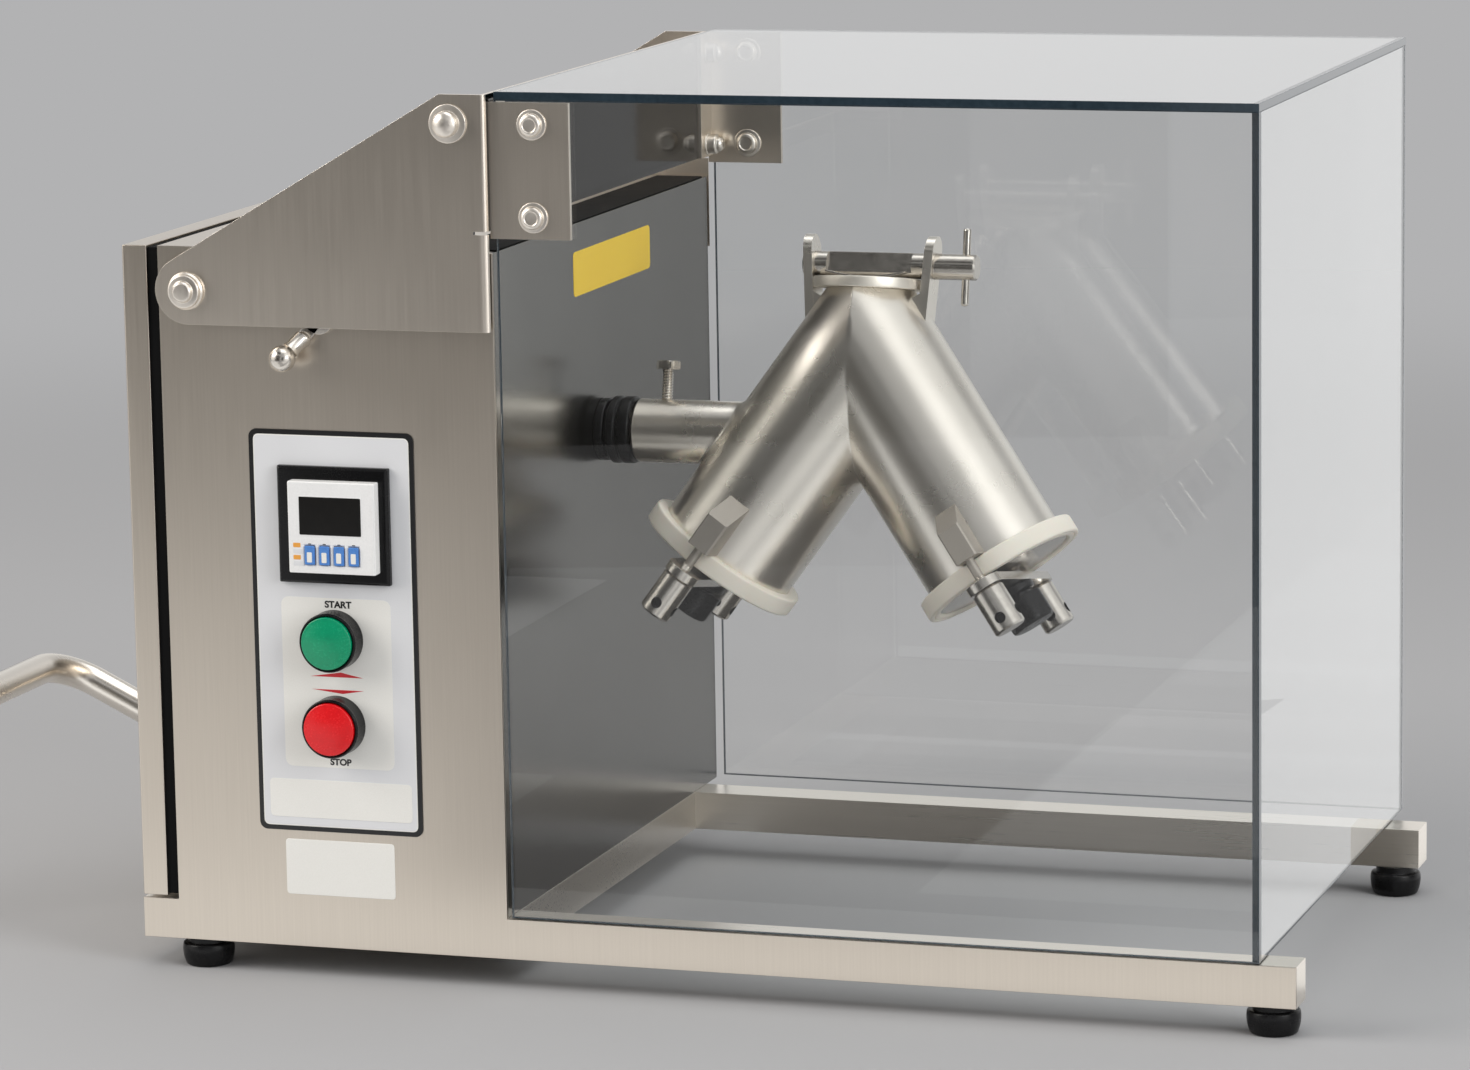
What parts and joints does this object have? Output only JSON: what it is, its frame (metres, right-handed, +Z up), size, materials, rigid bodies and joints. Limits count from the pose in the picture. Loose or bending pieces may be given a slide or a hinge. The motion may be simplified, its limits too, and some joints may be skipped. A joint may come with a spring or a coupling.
{
  "type": "twin-shell tumble blender",
  "caption": "Bench-top twin-shell tumble blender: V-shaped steel shell on a drive shaft inside a clear lift-up guard, beside a steel drive cabinet with timer and push buttons.",
  "frame": {"origin": "centre of the bounding box on the surface that the feet stand on", "axes": "+Z up, -Y toward the control panel (the front), +X from the drive cabinet to the guarded shell"},
  "size_m": [0.7048, 0.3647, 0.4383],
  "materials": {
    "sheet_steel": "brushed",
    "polished_steel": "polished",
    "machined_steel": "satin, turned",
    "pale_gasket": "matt",
    "black_rubber": "matt",
    "panel_film": "satin film",
    "black_plastic": "satin",
    "white_plastic": "satin",
    "chrome_ring": "bright",
    "green_plastic": "gloss",
    "red_plastic": "gloss",
    "motor_paint": "satin paint",
    "cast_gearbox": "cast",
    "circuit_board": "printed board",
    "clear_acrylic": "clear"
  },
  "bodies": {
    "base": {"base_frame": "sheet_steel", "front_plate": "sheet_steel", "cabinet_shell": "sheet_steel", "partition_wall": "polished_steel", "cover_gasket": "black_rubber", "service_cover": "sheet_steel", "carry_handle": "machined_steel", "pivot_bolts": "machined_steel", "rubber_feet": "black_rubber", "control_overlay": "panel_film", "timer_case": "black_plastic", "timer_face": "white_plastic", "start_bezel": "chrome_ring", "stop_bezel": "chrome_ring", "contact_blocks": "black_plastic", "gearmotor": "motor_paint", "gearbox": "cast_gearbox", "motor_bracket": "sheet_steel", "flange_bearing": "cast_gearbox", "shaft_seal": "black_rubber", "controller_board": "circuit_board", "mains_inlet": "black_plastic"},
    "drive": {"drive_shaft": "machined_steel"},
    "shell": {"v_shell": "machined_steel", "trunnion_tube": "machined_steel", "stud_lugs_left": "machined_steel", "stud_lugs_right": "machined_steel", "end_gasket_left": "pale_gasket", "end_gasket_right": "pale_gasket", "end_cover_left": "machined_steel", "end_cover_right": "machined_steel", "clamp_bar_left": "machined_steel", "clamp_bar_right": "machined_steel", "port_ears": "machined_steel"},
    "lid": {"lid": "machined_steel", "leaf_spring": "machined_steel"},
    "clamp_bolt": {"clamp_bolt": "machined_steel"},
    "cam": {"cam_shaft": "machined_steel"},
    "guard": {"guard_yoke": "sheet_steel", "pane_front": "clear_acrylic", "pane_rear": "clear_acrylic", "pane_top": "clear_acrylic", "pane_right": "clear_acrylic", "guard_brackets": "sheet_steel", "guard_bolts": "machined_steel", "tie_rod": "machined_steel"},
    "latch": {"latch_lever": "machined_steel", "latch_knob": "machined_steel"},
    "start": {"start_cap": "green_plastic"},
    "stop": {"stop_cap": "red_plastic"},
    "nut_left_front": {"tommy_nut_left_front": "machined_steel"},
    "nut_left_rear": {"tommy_nut_left_rear": "machined_steel"},
    "knob_left": {"knob_left": "black_plastic"},
    "nut_right_front": {"tommy_nut_right_front": "machined_steel"},
    "nut_right_rear": {"tommy_nut_right_rear": "machined_steel"},
    "knob_right": {"knob_right": "black_plastic"},
    "key_1": {"timer_key_1": "black_plastic"},
    "key_2": {"timer_key_2": "black_plastic"},
    "key_3": {"timer_key_3": "black_plastic"},
    "key_4": {"timer_key_4": "black_plastic"}
  },
  "joints": [
    {"name": "guard_lift", "type": "hinge", "parent": "base", "child": "guard", "pos_m": [-0.19462, 0.0022, 0.34], "axis": [0, -1, 0], "range_deg": [0, 85]},
    {"name": "shell_spin", "type": "hinge", "parent": "base", "child": "drive", "pos_m": [0.09957, -0.0063, 0.2525], "axis": [1, 0, 0], "continuous": true},
    {"name": "shell_draw", "type": "slide", "parent": "drive", "child": "shell", "axis": [1, 0, 0], "range_m": [0, 0.04]},
    {"name": "clamp_bolt_turn", "type": "hinge", "parent": "shell", "child": "clamp_bolt", "pos_m": [-0.00512, -0.00057, 0.285], "axis": [0, 0.1736, 0.9848], "range_deg": [0, 360]},
    {"name": "cam_turn", "type": "hinge", "parent": "shell", "child": "cam", "pos_m": [0.09957, 0.00863, 0.33719], "axis": [1, 0, 0], "range_deg": [0, 90]},
    {"name": "lid_draw", "type": "slide", "parent": "shell", "child": "lid", "axis": [0, -0.9848, 0.1736], "range_m": [0, 0.075]},
    {"name": "nut_left_front_turn", "type": "hinge", "parent": "shell", "child": "nut_left_front", "pos_m": [0.01454, -0.06772, 0.18062], "axis": [-0.5707, -0.1426, -0.8087], "range_deg": [0, 360]},
    {"name": "nut_left_rear_turn", "type": "hinge", "parent": "shell", "child": "nut_left_rear", "pos_m": [0.01454, 0.02682, 0.16395], "axis": [-0.5707, -0.1426, -0.8087], "range_deg": [0, 360]},
    {"name": "knob_left_turn", "type": "hinge", "parent": "shell", "child": "knob_left", "pos_m": [0.01454, -0.02045, 0.17229], "axis": [-0.5707, -0.1426, -0.8087], "range_deg": [0, 360]},
    {"name": "nut_right_front_turn", "type": "hinge", "parent": "shell", "child": "nut_right_front", "pos_m": [0.18461, -0.06772, 0.18062], "axis": [0.5707, -0.1426, -0.8087], "range_deg": [0, 360]},
    {"name": "nut_right_rear_turn", "type": "hinge", "parent": "shell", "child": "nut_right_rear", "pos_m": [0.18461, 0.02682, 0.16395], "axis": [0.5707, -0.1426, -0.8087], "range_deg": [0, 360]},
    {"name": "knob_right_turn", "type": "hinge", "parent": "shell", "child": "knob_right", "pos_m": [0.18461, -0.02045, 0.17229], "axis": [0.5707, -0.1426, -0.8087], "range_deg": [0, 360]},
    {"name": "latch_swing", "type": "hinge", "parent": "base", "child": "latch", "pos_m": [-0.12762, -0.1638, 0.328], "axis": [0, -1, 0], "range_deg": [0, 75]},
    {"name": "start_press", "type": "slide", "parent": "base", "child": "start", "axis": [0, 1, 0], "range_m": [0, 0.003], "stiffness_N_per_m": 800},
    {"name": "stop_press", "type": "slide", "parent": "base", "child": "stop", "axis": [0, 1, 0], "range_m": [0, 0.003], "stiffness_N_per_m": 800},
    {"name": "key_1_press", "type": "slide", "parent": "base", "child": "key_1", "axis": [0, 1, 0], "range_m": [0, 0.0004], "stiffness_N_per_m": 400},
    {"name": "key_2_press", "type": "slide", "parent": "base", "child": "key_2", "axis": [0, 1, 0], "range_m": [0, 0.0004], "stiffness_N_per_m": 400},
    {"name": "key_3_press", "type": "slide", "parent": "base", "child": "key_3", "axis": [0, 1, 0], "range_m": [0, 0.0004], "stiffness_N_per_m": 400},
    {"name": "key_4_press", "type": "slide", "parent": "base", "child": "key_4", "axis": [0, 1, 0], "range_m": [0, 0.0004], "stiffness_N_per_m": 400}
  ]
}
